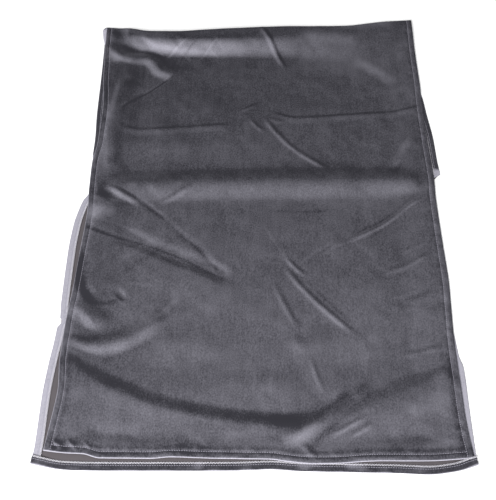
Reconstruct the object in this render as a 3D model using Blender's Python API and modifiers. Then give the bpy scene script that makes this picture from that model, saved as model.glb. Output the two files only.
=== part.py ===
# Velvet scarf, folded once across its middle and lying flat.
#
# The scarf is one length of cloth with a turned hem on all four sides. It lies with its wrong side in:
# the upper half shows its right side, its far end rolls over in a soft fold, and the lower half lies
# face down beneath it. X runs across the scarf, Y along it from the loose ends to the fold, Z is up.
# The tables are in millimetres from the scarf's middle, and everything else is in metres.

from collections import namedtuple

import bpy
import bmesh
import numpy as np
from mathutils import Matrix, Vector

MM = 0.001

# Driving dimensions
SCARF_WIDTH = 0.600
FOLDED_LENGTH = 0.900
CLOTH = 0.0012
HEM_WIDTH = 0.010
LAYER_GAP = 0.0003

# What follows from them
HALF_WIDTH = SCARF_WIDTH / 2
HALF_LENGTH = FOLDED_LENGTH / 2
LAYER = CLOTH + LAYER_GAP
LOWER_MIDDLE = CLOTH / 2
UPPER_MIDDLE = LOWER_MIDDLE + LAYER
HEM_LIFT = 2 * LAYER

# The upper half lies flat over the hems, then slopes down onto the lower half, where it swells a little
HEM_SHELF = HEM_WIDTH + 0.005
HEM_SLOPE = 0.026
SWELL = 0.0016
SWELL_REACH = 0.120

# The fold's round is this much deeper than half its height, and its underside runs this far back
ROLL_ROUND = 1.15
FOLD_TUCK = 0.045
CREST_BACK = 0.010

# A dent where the lower half's left edge is nipped in
NIP_Y = -0.2400
NIP_DEPTH = 0.0085
NIP_REACH = 0.0055

# Spacing of the sheet's points
COLUMN_STEP = 0.0205
ROW_STEP = 0.0200
FINE_ROW_STEP = 0.0125
STEEP_ROWS = [(-0.430, -0.330), (0.000, 0.090), (0.330, 0.420)]
ROUND_STEPS = 7
TUCK_STEPS = 3
STRIP_STEP = 0.020
END_POINTS = 40
LAP_STEPS = (0.0, 0.011, 0.016)

# Outline. A side's row says how far its edge stands out beyond the half width at each place along it;
# an end's row says how far it stands out beyond the half length at each place across it.
Side = namedtuple("Side", "y out")
End = namedtuple("End", "x out")

UPPER_LEFT = [
    Side(-450, 0.0),
    Side(-404, -4.3),
    Side(-354, -7.9),
    Side(-295, -3.7),
    Side(-249, -4.3),
    Side(-174, -8.4),
    Side(-118, -10.2),
    Side(-23, -13.4),
    Side(23, -10.7),
    Side(81, -9.3),
    Side(135, -14.2),
    Side(206, -14.4),
    Side(245, -11.8),
    Side(285, -7.6),
    Side(341, -4.2),
    Side(381, -1.4),
    Side(434, -0.4),
]
UPPER_RIGHT = [
    Side(-450, 1.0),
    Side(-414, -2.3),
    Side(-383, -3.5),
    Side(-285, -3.9),
    Side(-204, -1.0),
    Side(-158, 0.9),
    Side(-83, -0.2),
    Side(4, -0.8),
    Side(53, 1.0),
    Side(134, -0.7),
    Side(235, -1.7),
    Side(278, -0.2),
    Side(358, -0.6),
    Side(461, 0.4),
]
UPPER_END = [
    End(-300, -0.5),
    End(-270, 3.0),
    End(-245, 4.0),
    End(-220, 10.0),
    End(-150, 10.0),
    End(-120, 7.5),
    End(-60, 9.0),
    End(15, 9.5),
    End(40, 12.5),
    End(75, 15.5),
    End(100, 15.0),
    End(170, 10.5),
    End(230, 10.0),
    End(300, 5.0),
]
LOWER_LEFT = [
    Side(-468, 15.5),
    Side(-440, 13.6),
    Side(-365, 14.5),
    Side(-315, 12.4),
    Side(-272, 8.9),
    Side(-246, 7.6),
    Side(-234, 5.5),
    Side(-205, 7.6),
    Side(-100, 9.1),
    Side(-51, 6.8),
    Side(-16, 0.9),
    Side(1, -3.6),
    Side(18, -12.0),
    Side(85, -12.0),
    Side(99, -7.9),
    Side(131, -7.9),
    Side(203, -4.4),
    Side(289, -2.5),
    Side(370, 0.0),
    Side(391, 1.1),
    Side(405, 4.5),
    Side(432, 9.0),
]
LOWER_RIGHT = [
    Side(-468, 7.0),
    Side(-457, 4.4),
    Side(-387, 4.5),
    Side(-330, 5.3),
    Side(-312, 4.8),
    Side(-294, 0.5),
    Side(-257, -2.1),
    Side(-230, -4.0),
    Side(54, -3.0),
    Side(62, 13.2),
    Side(91, 11.5),
    Side(145, 10.3),
    Side(205, 5.0),
    Side(247, 1.8),
    Side(275, -2.0),
    Side(461, -2.0),
]
LOWER_END = [
    End(-316, 18.0),
    End(-303, 21.0),
    End(-266, 26.3),
    End(-235, 27.0),
    End(-100, 26.0),
    End(-30, 25.0),
    End(18, 22.8),
    End(60, 25.0),
    End(196, 26.6),
    End(235, 28.0),
    End(272, 23.4),
    End(307, 13.5),
]

# The roll of the fold: how far its edge stands beyond the half length, how high its crest is, how far
# the crest reaches back from that edge, and how wide the slope is that leads down from it.
Roll = namedtuple("Roll", "x out height crest slope")

FOLD_ROLL = [
    Roll(-300, -18, 9, 14, 34),
    Roll(-275, -20, 9, 14, 34),
    Roll(-255, -23, 13, 18, 34),
    Roll(-213, -34, 18, 23, 36),
    Roll(-176, -36, 20, 24, 40),
    Roll(-100, -30, 20, 30, 40),
    Roll(0, -21, 18, 34, 47),
    Roll(58, -16, 16, 28, 60),
    Roll(165, -11, 13, 16, 84),
    Roll(250, 5, 10, 14, 92),
    Roll(300, 11, 8, 14, 76),
]

# The largest folds. A route follows a fold's crest, or the bottom of a trough, whose height is negative.
# Left and right are the widths of its two slopes, as seen by someone who walks along the route.
Fold = namedtuple("Fold", "name height left right route")

FOLDS = [
    Fold("corner_ridge", 4.8, 24, 20,
         [(-298, 392), (-283, 368), (-262, 350), (-240, 345), (-215, 347),
          (-198, 334), (-188, 312), (-160, 300)]),
    Fold("middle_ridge", 5.2, 34, 42,
         [(-262, 20), (-235, 32), (-150, 36), (0, 42), (100, 43), (200, 45), (288, 48)]),
    Fold("left_ridge", 3.5, 22, 46,
         [(-296, 8), (-268, 4), (-240, -4)]),
    Fold("long_crease", -2.6, 24, 18,
         [(-288, -55), (-260, -65), (-200, -85), (-130, -120), (-80, -140), (-45, -162)]),
    Fold("side_hump", 5.0, 36, 22,
         [(-296, -204), (-274, -219), (-258, -236), (-245, -256)]),
    Fold("left_arc", 4.5, 22, 22,
         [(-298, -266), (-262, -281), (-230, -281), (-200, -270), (-168, -248), (-146, -220)]),
    Fold("swag", 4.4, 26, 82,
         [(-298, -292), (-270, -322), (-240, -345), (-200, -364), (-150, -384), (-100, -397),
          (-50, -406), (0, -411), (45, -414), (85, -410), (122, -399), (160, -383),
          (200, -365), (250, -339), (296, -315)]),
]
FOLD_TAPER = 0.035
TAPER_START = 0.25
ROUTE_STEP = 0.004

# Each piece's colour and roughness: velvet shows its right side on top, and its wrong side beneath
RIGHT_SIDE = (0.120, 0.118, 0.135, 1.0)
PALE_NAP = (0.560, 0.545, 0.610, 1.0)
DARK_NAP = (0.075, 0.073, 0.088, 1.0)
WRONG_SIDE = (0.130, 0.112, 0.115, 1.0)
NAP_ROUGHNESS = 0.95


def smooth(t):
    """Ease from 0 to 1 as t goes from 0 to 1."""
    t = np.clip(t, 0.0, 1.0)
    return t * t * (3.0 - 2.0 * t)


def read(rows, key, value, at):
    """A table's value, in metres, on a smooth curve through its rows that never overshoots them."""
    places = np.array([getattr(row, key) for row in rows]) * MM
    values = np.array([getattr(row, value) for row in rows]) * MM
    steps = np.diff(places)
    slopes = np.diff(values) / steps
    tangents = np.concatenate([slopes[:1], np.zeros(len(rows) - 2), slopes[-1:]])
    turning = slopes[:-1] * slopes[1:] > 0
    means = 2 * slopes[:-1] * slopes[1:] / np.where(turning, slopes[:-1] + slopes[1:], 1.0)
    tangents[1:-1] = np.where(turning, means, 0.0)
    at = np.clip(at, places[0], places[-1])
    k = np.clip(np.searchsorted(places, at) - 1, 0, len(steps) - 1)
    t = (at - places[k]) / steps[k]
    start = values[k] * (1 + 2 * t) + tangents[k] * steps[k] * t
    end = values[k + 1] * (3 - 2 * t) - tangents[k + 1] * steps[k] * (1 - t)
    return start * (1 - t) ** 2 + end * t ** 2


def upper_left(y):
    return -HALF_WIDTH - read(UPPER_LEFT, "y", "out", y)


def upper_right(y):
    return HALF_WIDTH + read(UPPER_RIGHT, "y", "out", y)


def lower_left(y):
    return -HALF_WIDTH - read(LOWER_LEFT, "y", "out", y)


def lower_right(y):
    return HALF_WIDTH + read(LOWER_RIGHT, "y", "out", y)


def nip(y):
    """Depth of the dent in the lower half's left edge."""
    return NIP_DEPTH * np.maximum(1.0 - np.abs(y - NIP_Y) / NIP_REACH, 0.0)


def near_edge(x):
    return -HALF_LENGTH - read(UPPER_END, "x", "out", x)


def lower_near_edge(x):
    return -HALF_LENGTH - read(LOWER_END, "x", "out", x)


def fold_edge(x):
    return HALF_LENGTH + read(FOLD_ROLL, "x", "out", x)


def dense_route(points):
    """A fold's route in metres, with a point every few millimetres, and the distance run at each."""
    corners = np.array(points) * MM
    runs = np.concatenate([[0.0], np.cumsum(np.linalg.norm(np.diff(corners, axis=0), axis=1))])
    at = np.linspace(0.0, runs[-1], int(runs[-1] / ROUTE_STEP) + 2)
    return np.stack([np.interp(at, runs, corners[:, axis]) for axis in (0, 1)], axis=1), at


def fold_height(fold, x, y):
    """How much one fold raises or lowers the cloth at each place."""
    route, at = dense_route(fold.route)
    ahead = np.gradient(route, axis=0)
    ahead /= np.linalg.norm(ahead, axis=1)[:, None]
    away = np.stack([x, y], axis=-1)[..., None, :] - route
    nearest = np.argmin(np.sum(away ** 2, axis=-1), axis=-1)
    off = np.take_along_axis(away, nearest[..., None, None], axis=-2)[..., 0, :]
    turn = ahead[nearest, 0] * off[..., 1] - ahead[nearest, 1] * off[..., 0]
    width = np.where(turn > 0, fold.left, fold.right) * MM
    run = at[nearest]
    taper = smooth(run / FOLD_TAPER + TAPER_START) * smooth((at[-1] - run) / FOLD_TAPER + TAPER_START)
    return fold.height * MM * taper * (1.0 - smooth(np.linalg.norm(off, axis=-1) / width))


def edge_distance(x, y):
    """How far inside the upper half's three hemmed edges a place is."""
    across = np.minimum(x - upper_left(y), upper_right(y) - x)
    return np.minimum(across, y - near_edge(x))


def roll_rise(x, y):
    """How high the roll of the fold holds the upper half, and what share of its whole rise that is."""
    back = fold_edge(x) - y
    crest = read(FOLD_ROLL, "x", "crest", x)
    slope = read(FOLD_ROLL, "x", "slope", x)
    rise = read(FOLD_ROLL, "x", "height", x) - CLOTH / 2 - UPPER_MIDDLE
    share = 1.0 - smooth((back - crest) / slope)
    return rise * share, share


def upper_height(x, y):
    """Height of the middle of the upper half's cloth: what holds it up there, with its folds."""
    inside = edge_distance(x, y)
    lift = HEM_LIFT * (1.0 - smooth((inside - HEM_SHELF) / HEM_SLOPE))
    folds = [fold_height(fold, x, y) for fold in FOLDS]
    ridges = SWELL * smooth(inside / SWELL_REACH) + np.sum(np.maximum(folds, 0.0), axis=0)
    troughs = np.sum(np.minimum(folds, 0.0), axis=0)
    rise, rolled = roll_rise(x, y)
    held = rise + np.cbrt(lift ** 3 + ridges ** 3) * (1.0 - rolled)
    return UPPER_MIDDLE + np.maximum(held + troughs, lift)


def hemmed_stations(start, end, step):
    """Places from start to end: one at each hem's inner edge, and the rest evenly spaced between."""
    count = int(round((end - start - 2 * HEM_WIDTH) / step)) + 1
    return np.concatenate([[start], np.linspace(start + HEM_WIDTH, end - HEM_WIDTH, count), [end]])


def row_shares():
    """Share of the length at each of the upper half's rows, which lie closer on the steeper folds."""
    rows = [-HALF_LENGTH, -HALF_LENGTH + HEM_WIDTH]
    while rows[-1] < HALF_LENGTH:
        steep = any(low <= rows[-1] < high for low, high in STEEP_ROWS)
        rows.append(rows[-1] + (FINE_ROW_STEP if steep else ROW_STEP))
    rows = np.array(rows)
    return (rows - rows[0]) / (rows[-1] - rows[0])


def upper_sheet():
    """Middle surface of the upper half, row by row: from its end to the roll, round it and beneath."""
    across = hemmed_stations(-HALF_WIDTH, HALF_WIDTH, COLUMN_STEP)
    share = (across + HALF_WIDTH) / SCARF_WIDTH

    def row(y, z, turn):
        left = upper_left(y) * (1 - turn) + lower_left(y) * turn
        right = upper_right(y) * (1 - turn) + lower_right(y) * turn
        x = left + (right - left) * share
        return np.stack([x, y, upper_height(x, y) if z is None else z], axis=-1)

    near, far = near_edge(across), fold_edge(across)
    depth = ROLL_ROUND * (upper_height(across, far - CREST_BACK) - LOWER_MIDDLE) / 2
    crest = far - depth
    rows = [row(near + (crest - near) * along, None, 0.0) for along in row_shares()]
    middle = (rows[-1][:, 2] + LOWER_MIDDLE) / 2
    radius = (rows[-1][:, 2] - LOWER_MIDDLE) / 2
    for step in range(1, ROUND_STEPS + 1):
        angle = np.pi * (0.5 - step / ROUND_STEPS)
        y, z = crest + depth * np.cos(angle), middle + radius * np.sin(angle)
        rows.append(row(y, z, smooth(step / ROUND_STEPS)))
    for step in range(1, TUCK_STEPS + 1):
        y = crest + (far - FOLD_TUCK - crest) * step / TUCK_STEPS
        rows.append(row(y, np.full_like(y, LOWER_MIDDLE), 1.0))
    return np.array(rows)


def turned_under(sheet):
    """The sheet moved in by one layer, to where the hems lie against it."""
    along, across = np.gradient(sheet, axis=0), np.gradient(sheet, axis=1)
    outward = np.cross(across, along)
    outward /= np.linalg.norm(outward, axis=-1)[..., None]
    return sheet - outward * LAYER


def between_sides(sheet):
    """A hem strip's points without its ends, kept a gap away from the side hems."""
    strip = sheet[:, 1:-1].copy()
    strip[:, 0] += (strip[:, 1] - strip[:, 0]) * LAYER_GAP / COLUMN_STEP
    strip[:, -1] += (strip[:, -2] - strip[:, -1]) * LAYER_GAP / COLUMN_STEP
    return strip


def lower_corners():
    """Y of the lower half's two free corners, left and right."""
    return -HALF_LENGTH - LOWER_END[0].out * MM, -HALF_LENGTH - LOWER_END[-1].out * MM


def lower_outline(butt):
    """The lower half's outline: up its left side, along the line where it meets the fold, and round."""
    left_end, right_end = lower_corners()
    left = np.arange(left_end, butt[0, 1], STRIP_STEP / 2)
    left = np.sort(np.concatenate([left, [NIP_Y - NIP_REACH, NIP_Y, NIP_Y + NIP_REACH]]))
    right = np.arange(right_end, butt[-1, 1], STRIP_STEP / 2)
    ends = np.linspace(lower_right(right_end), lower_left(left_end), END_POINTS)[1:-1]
    outline = [(lower_left(y) + nip(y), y) for y in left]
    outline += [(x, y - LAYER_GAP) for x, y, z in butt]
    outline += [(lower_right(y), y) for y in right[::-1]]
    outline += [(x, lower_near_edge(x)) for x in ends]
    return [(x, y, LOWER_MIDDLE) for x, y in outline]


def lower_side_strip(edge, dent, inward, start, butt_edge, butt_inner):
    """A side hem on the lower half: its outer edge on the cloth's own, its inner edge a hem's width in."""
    y = np.arange(start, min(butt_edge[1], butt_inner[1]) - STRIP_STEP / 4, STRIP_STEP / 2)
    y = np.sort(np.concatenate([y, [NIP_Y - NIP_REACH, NIP_Y, NIP_Y + NIP_REACH]]))
    height = np.full_like(y, LOWER_MIDDLE + LAYER)
    outer = np.stack([edge(y) + dent(y), y, height], axis=-1)
    inner = np.stack([edge(y) + inward * HEM_WIDTH, y, height], axis=-1)
    last = [(x, y - LAYER_GAP, height[0]) for x, y, z in (butt_edge, butt_inner)]
    strip = np.stack([np.vstack([outer, last[:1]]), np.vstack([inner, last[1:]])], axis=1)
    return strip if inward > 0 else strip[:, ::-1]


def lower_end_strip():
    """The end hem on the lower half, turned up last, so it laps over the side hems at both corners."""
    left_end, right_end = lower_corners()
    left, right = lower_left(left_end), lower_right(right_end)
    count = int(round((right - left - 2 * LAP_STEPS[-1]) / STRIP_STEP)) + 1
    middle = np.linspace(left + LAP_STEPS[-1], right - LAP_STEPS[-1], count)
    x = np.concatenate([left + np.array(LAP_STEPS[:-1]), middle, right - np.array(LAP_STEPS[-2::-1])])
    inset = np.minimum(x - left, right - x)
    lap = 1.0 - smooth((inset - LAP_STEPS[1]) / (LAP_STEPS[2] - LAP_STEPS[1]))
    outer = np.stack([x, lower_near_edge(x), LOWER_MIDDLE + LAYER * (1 + lap)], axis=-1)
    return np.stack([outer, outer + np.array([0.0, HEM_WIDTH, 0.0])])


def velvet(name, colour):
    """A plain cloth finish in one colour."""
    material = bpy.data.materials.new(name)
    material.use_nodes = True
    shader = material.node_tree.nodes["Principled BSDF"]
    shader.inputs["Base Color"].default_value = colour
    shader.inputs["Roughness"].default_value = NAP_ROUGHNESS
    shader.inputs["Metallic"].default_value = 0.0
    material.diffuse_color = colour
    return material


def add_cloth(name, faces_of, colour, collection):
    """A piece of cloth: an open surface, given the cloth's thickness on both its sides."""
    mesh = bpy.data.meshes.new(name)
    bm = bmesh.new()
    faces_of(bm)
    bm.to_mesh(mesh)
    bm.free()
    mesh.shade_smooth()
    mesh.materials.append(velvet(name, colour))
    piece = bpy.data.objects.new(name, mesh)
    collection.objects.link(piece)
    thickness = piece.modifiers.new("cloth_thickness", "SOLIDIFY")
    thickness.thickness = CLOTH
    thickness.offset = 0.0
    return piece


def add_sheet(name, sheet, colour, collection):
    """Cloth lofted through the rows of a sheet."""
    def faces_of(bm):
        points = [[bm.verts.new(point) for point in row] for row in sheet]
        for row, after in zip(points, points[1:]):
            for k in range(len(row) - 1):
                bm.faces.new((row[k], row[k + 1], after[k + 1], after[k]))

    return add_cloth(name, faces_of, colour, collection)


def add_flat(name, outline, colour, collection):
    """Cloth that lies flat, cut to an outline."""
    def faces_of(bm):
        bm.faces.new([bm.verts.new(point) for point in outline])
        bmesh.ops.recalc_face_normals(bm, faces=bm.faces)

    return add_cloth(name, faces_of, colour, collection)


def centre_on_floor(pieces):
    """Move the pieces' meshes so that the origin is at the middle of the whole scarf's underside."""
    bpy.context.view_layer.update()
    seen = bpy.context.evaluated_depsgraph_get()
    corners = np.array([Vector(corner) for piece in pieces for corner in piece.evaluated_get(seen).bound_box])
    middle = (corners.min(axis=0) + corners.max(axis=0)) / 2
    for piece in pieces:
        piece.data.transform(Matrix.Translation((-middle[0], -middle[1], -corners[:, 2].min())))


def main():
    for obj in list(bpy.data.objects):
        bpy.data.objects.remove(obj, do_unlink=True)
    scarf = bpy.data.collections.new("scarf")
    bpy.context.scene.collection.children.link(scarf)

    sheet = upper_sheet()
    hems = turned_under(sheet)
    butt = sheet[-1]
    left_end, right_end = lower_corners()

    def no_dent(y):
        return 0.0

    pieces = [
        add_sheet("upper_half", sheet, RIGHT_SIDE, scarf),
        add_sheet("upper_left_hem", hems[:, :2], RIGHT_SIDE, scarf),
        add_sheet("upper_right_hem", hems[:, -2:], RIGHT_SIDE, scarf),
        add_sheet("upper_end_hem", between_sides(hems[:2]), RIGHT_SIDE, scarf),
        add_flat("lower_half", lower_outline(butt), WRONG_SIDE, scarf),
        add_sheet("lower_left_hem",
                  lower_side_strip(lower_left, nip, 1, left_end, butt[0], butt[1]), PALE_NAP, scarf),
        add_sheet("lower_right_hem",
                  lower_side_strip(lower_right, no_dent, -1, right_end, butt[-1], butt[-2]),
                  PALE_NAP, scarf),
        add_sheet("lower_end_hem", lower_end_strip(), DARK_NAP, scarf),
    ]
    centre_on_floor(pieces)


main()
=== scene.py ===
# Velvet scarf, folded once across its middle and lying flat on a pale floor.
#
# The scarf is one length of cloth with a turned hem on all four sides. The upper cloth runs from its
# loose end, over the soft roll of the fold and back beneath it. The lower cloth lies face down, so its
# turned-up hems show the pile. X runs across the scarf, Y along it to the fold, and Z is up.
# The tables are in millimetres from the scarf's middle, and everything else is in metres.

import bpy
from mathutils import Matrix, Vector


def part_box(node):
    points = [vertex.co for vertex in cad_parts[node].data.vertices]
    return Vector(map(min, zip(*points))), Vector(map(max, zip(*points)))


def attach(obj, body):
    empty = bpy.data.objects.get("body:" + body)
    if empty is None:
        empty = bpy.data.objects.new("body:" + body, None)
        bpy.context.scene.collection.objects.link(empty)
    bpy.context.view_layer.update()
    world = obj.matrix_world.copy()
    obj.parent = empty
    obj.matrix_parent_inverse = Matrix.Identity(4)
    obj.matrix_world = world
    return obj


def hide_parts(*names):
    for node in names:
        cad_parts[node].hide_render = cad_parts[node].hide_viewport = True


bl_info = {
    "name": "Folded velvet scarf",
    "version": (1, 0, 0),
    "blender": (4, 5, 0),
    "location": "View3D > Sidebar > Scarf",
    "description": "Makes a hemmed velvet scarf that lies folded in half, with its seams and its stage",
    "category": "Add Mesh",
}

from collections import namedtuple

import bmesh
import bpy
import numpy as np
from bpy.props import FloatProperty, FloatVectorProperty, PointerProperty
from bpy.types import Operator, Panel, PropertyGroup
from mathutils import Vector

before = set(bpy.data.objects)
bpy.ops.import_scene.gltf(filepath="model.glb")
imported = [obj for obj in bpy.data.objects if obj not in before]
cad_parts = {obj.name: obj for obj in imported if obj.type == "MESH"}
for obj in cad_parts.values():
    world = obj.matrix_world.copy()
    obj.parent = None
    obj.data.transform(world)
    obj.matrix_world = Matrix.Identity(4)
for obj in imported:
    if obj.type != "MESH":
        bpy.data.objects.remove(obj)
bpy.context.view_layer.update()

MM = 0.001

# The cloth's sizes, which are those of the solids in the frame
HALF_WIDTH = 0.300
HALF_LENGTH = 0.450
CLOTH = 0.0012
LAYER = 0.0015
LAYER_GAP = LAYER - CLOTH
LOWER_MIDDLE = CLOTH / 2
UPPER_MIDDLE = LOWER_MIDDLE + LAYER
HEM_LIFT = 2 * LAYER
HEM_SHELF = 0.015
SIDE_SLOPE = 0.075
END_SLOPE = 0.034
SWELL = 0.0016
SWELL_REACH = 0.120
ROLL_ROUND = 1.15
FOLD_TUCK = 0.045
CREST_BACK = 0.010
NIP_Y = -0.2400
NIP_DEPTH = 0.0085
NIP_REACH = 0.0055

# Where the tables' middle is in the frame: the lower half's left edge and left hem end give it
LOWER_LEFT_OUT = 0.3155
LOWER_LEFT_END = 0.468
SHIFT_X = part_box("lower_half")[0].x + LOWER_LEFT_OUT
SHIFT_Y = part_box("lower_left_hem")[0].y + LOWER_LEFT_END

# Spacing of the sheets' points, plain and across a hem from its cut edge
GRID = 0.0028
LOWER_GRID = 0.0060
INSIDE_STEP = 3
CURL_STEPS = 6
CURL = LAYER / 2
STITCH_INSET = 0.0092
LOWER_STITCH_INSET = 0.0068
HEM_PLACES = (0.0022, 0.0042, 0.0060, 0.0076, STITCH_INSET, 0.0108, 0.0126, 0.0148)
UNDER_PLACES = (0.0115, 0.0092, LOWER_STITCH_INSET, 0.0045, 0.0025)
ROUND_STEPS = 18
TUCK_STEPS = 9

# How many layers further in the end hem goes at a corner, to pass the side hem: it does so for a few
# columns past that hem, and then eases back
UPPER_LAP = 0.5
LOWER_LAP = 1.8
CORNER_COLUMNS = 6
CORNER_FADE = 4.0

# Below this length the normal at a point is taken from the points round it
NO_AREA = 1e-12

# How the cloth's inside is pressed in to stay under its outside
PRESSES = 3
LEAST_COVER = 0.0006
MOST_PRESSED = 0.0006

# How far the pile leans aside, to the left, for each step that it leans along the cloth
# This paints slopes that turn to the left paler, and slopes that turn to the right darker, as painted shade
PILE_ASIDE = 0.26

# Sewing. The upper stitches stop a few rows short of the tuck beneath the roll
STITCH_PITCH = 0.0034
STITCH_LENGTH = 0.0026
STITCH_RADIUS = 0.00036
STITCH_SIDES = 6
STITCH_SHARES = (0.0, 0.22, 0.78, 1.0)
STITCH_RISE = (-0.9, 0.35, 0.35, -0.9)
STITCH_SWELL = (0.55, 1.0, 1.0, 0.55)
GROOVE_DEPTH = 0.00055
GROOVE_WIDTH = 0.0030
OVERLOCK_PITCH = 0.0021
OVERLOCK_RADIUS = 0.00048
OVERLOCK_OVER = 0.12
OVERLOCK_TIP = 0.3
OVERLOCK_ROOT = 0.6
STITCHES_STOP = 3

# The stretches of the lower cloth's side hems that are painted dark, by turning the pile's lie round: side,
# start and end
DARK_STRETCHES = ((-1, 0.098, 0.395), (1, 0.070, 0.255))
LIE_FADE = 0.010

# The lower cloth's end hem is painted darker, in chance mottles: its pile is set to lie less flat there, by
# chance more or less
END_LIFT = 0.35
END_RUFFLE = 0.8
RUFFLE_SIZE = 0.016
RUFFLE_SEED = 11

# Nap: how far the pile leans along the cloth, against standing up, and where it is painted darkest
# The velvet's colour is painted from these, as painted sheen and painted shade that turn with its slopes
LEAN_AT_END = 1.25
LEAN_AT_FOLD = 0.87
NAP_LEVEL = 0.010
LOWER_PALENESS = 0.68
PAINTED_SHEEN_DARKEST = (0.0, -0.6, 0.8)
TUFT_STRENGTH = 0.35
TUFT_DEPTH = 0.0004

# Unevenness of the nap: how much, and how often to the metre along each axis. It is livelier where
# the nap is pale
STREAKS = 0.05
STREAK_SCALE = (330, 26, 330)
RUB = 0.07
RUB_SCALE = (46, 38, 46)
GRAIN = 0.235
GRAIN_SCALE = (620, 380, 620)
LIVELIER = 3.0

# Painted shade along the hems: how far in, how far round that line, and how much darker
SHADE_INSET = 0.0130
SHADE_REACH = 0.0085
END_PAINTED_SHADE = 0.085
FLAP_INSET = 0.0045
FLAP_REACH = 0.0060
FLAP_PAINTED_SHADE = 0.055
SIDE_PAINTED_SHADE = 0.060
SIDE_PAINTED_SHADE_TO = 0.330
SIDE_PAINTED_SHADE_FADE = 0.060

# The woven back, the thread and the floor: size of their patterns, and their darker shade's share
WEAVE_SCALE = 420.0
WEAVE_DARK = 0.72
WEAVE_SHARE = 0.4
SLUB_SCALE = (260, 60, 260)
PLY_SCALE = 900.0
PLY_DARK = 0.75
MOTTLE_SCALE = (3, 3, 3)
FLOOR_DARK = 0.985

# A Mix node's sockets for colours
MIX_AMOUNT = 0
MIX_FIRST = 6
MIX_SECOND = 7
MIX_RESULT = 2

# Stage
FLOOR_SIZE = 12.0
FLOOR_Z = -0.0004
LAMP_PLACE = (-0.55, -1.75, 1.55)
LAMP_AIM = (0.0, -0.10, 0.0)
LAMP_SIZE = 1.0
CAMERA_PLACE = (SHIFT_X - 0.00882, SHIFT_Y - 0.94824, 1.18616)
CAMERA_TILT = np.radians(54.4)
CAMERA_TURN = np.radians(0.573)
CAMERA_SENSOR = 36.0
CAMERA_FAR = 50.0

# Rows of the tables. "out" is how far an edge lies outside the plain folded rectangle. A roll keeps its
# height for the width of its crest, and comes down over its slope.
Side = namedtuple("Side", "y out")
End = namedtuple("End", "x out")
Roll = namedtuple("Roll", "x out height crest slope")
Fold = namedtuple("Fold", "name height left right route")
Uneven = namedtuple("Uneven", "size height seed")

UPPER_LEFT = [
    Side(-450, 0.0), Side(-404, -4.3), Side(-354, -7.9), Side(-295, -3.7), Side(-249, -4.3),
    Side(-174, -8.4), Side(-118, -10.2), Side(-23, -13.4), Side(23, -10.7), Side(81, -9.3),
    Side(135, -14.2), Side(206, -14.4), Side(245, -11.8), Side(285, -7.6), Side(341, -4.2),
    Side(381, -1.4), Side(434, -0.4),
]
UPPER_RIGHT = [
    Side(-450, 1.0), Side(-414, -2.3), Side(-383, -3.5), Side(-285, -3.9), Side(-204, -1.0),
    Side(-158, 0.9), Side(-83, -0.2), Side(4, -0.8), Side(53, 1.0), Side(134, -0.7),
    Side(235, -1.7), Side(278, -0.2), Side(358, -0.6), Side(461, 0.4),
]
UPPER_END = [
    End(-300, -0.5), End(-270, 3.0), End(-245, 4.0), End(-220, 10.0), End(-150, 10.0),
    End(-120, 7.5), End(-60, 9.0), End(15, 9.5), End(40, 12.5), End(75, 15.5), End(100, 15.0),
    End(170, 10.5), End(230, 10.0), End(300, 5.0),
]
LOWER_LEFT = [
    Side(-468, 15.5), Side(-440, 13.6), Side(-365, 14.5), Side(-315, 12.4), Side(-272, 8.9),
    Side(-246, 7.6), Side(-234, 5.5), Side(-205, 7.6), Side(-100, 9.1), Side(-51, 6.8),
    Side(-16, 0.9), Side(1, -3.6), Side(18, -12.0), Side(85, -12.0), Side(99, -7.9),
    Side(131, -7.9), Side(203, -4.4), Side(289, -2.5), Side(370, 0.0), Side(391, 1.1),
    Side(405, 4.5), Side(432, 9.0),
]
LOWER_RIGHT = [
    Side(-468, 7.0), Side(-457, 4.4), Side(-387, 4.5), Side(-330, 5.3), Side(-312, 4.8),
    Side(-294, 0.5), Side(-257, -2.1), Side(-230, -4.0), Side(54, -3.0), Side(62, 13.2),
    Side(91, 11.5), Side(145, 10.3), Side(205, 5.0), Side(247, 1.8), Side(275, -2.0),
    Side(461, -2.0),
]
LOWER_END = [
    End(-316, 18.0), End(-303, 21.0), End(-266, 26.3), End(-235, 27.0), End(-100, 26.0),
    End(-30, 25.0), End(18, 22.8), End(60, 25.0), End(196, 26.6), End(235, 28.0),
    End(272, 23.4), End(307, 13.5),
]
FOLD_ROLL = [
    Roll(-300, -18, 9, 14, 34), Roll(-275, -20, 9, 14, 34), Roll(-255, -23, 13, 18, 34),
    Roll(-213, -34, 18, 23, 36), Roll(-176, -36, 20, 24, 40), Roll(-100, -30, 20, 30, 40),
    Roll(0, -21, 18, 34, 47), Roll(58, -16, 16, 28, 60), Roll(165, -11, 13, 16, 84),
    Roll(250, 5, 10, 14, 92), Roll(300, 11, 8, 14, 76),
]

# The largest folds, as the solids have them. A route follows a crest, or the bottom of a trough, whose
# height is negative. Left and right are the widths of its slopes for someone who walks along the route.
FOLDS = [
    Fold("corner_ridge", 4.8, 24, 20,
         [(-298, 392), (-283, 368), (-262, 350), (-240, 345), (-215, 347),
          (-198, 334), (-188, 312), (-160, 300)]),
    Fold("middle_ridge", 5.2, 34, 42,
         [(-262, 20), (-235, 32), (-150, 36), (0, 42), (100, 43), (200, 45), (288, 48)]),
    Fold("left_ridge", 3.5, 22, 46,
         [(-296, 8), (-268, 4), (-240, -4)]),
    Fold("long_crease", -2.6, 24, 18,
         [(-288, -55), (-260, -65), (-200, -85), (-130, -120), (-80, -140), (-45, -162)]),
    Fold("side_hump", 5.0, 36, 22,
         [(-296, -204), (-274, -219), (-258, -236), (-245, -256)]),
    Fold("left_arc", 4.5, 22, 22,
         [(-298, -266), (-262, -281), (-230, -281), (-200, -270), (-168, -248), (-146, -220)]),
    Fold("swag", 4.4, 26, 82,
         [(-298, -292), (-270, -322), (-240, -345), (-200, -364), (-150, -384), (-100, -397),
          (-50, -406), (0, -411), (45, -414), (85, -410), (122, -399), (160, -383),
          (200, -365), (250, -339), (296, -315)]),
]

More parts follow.
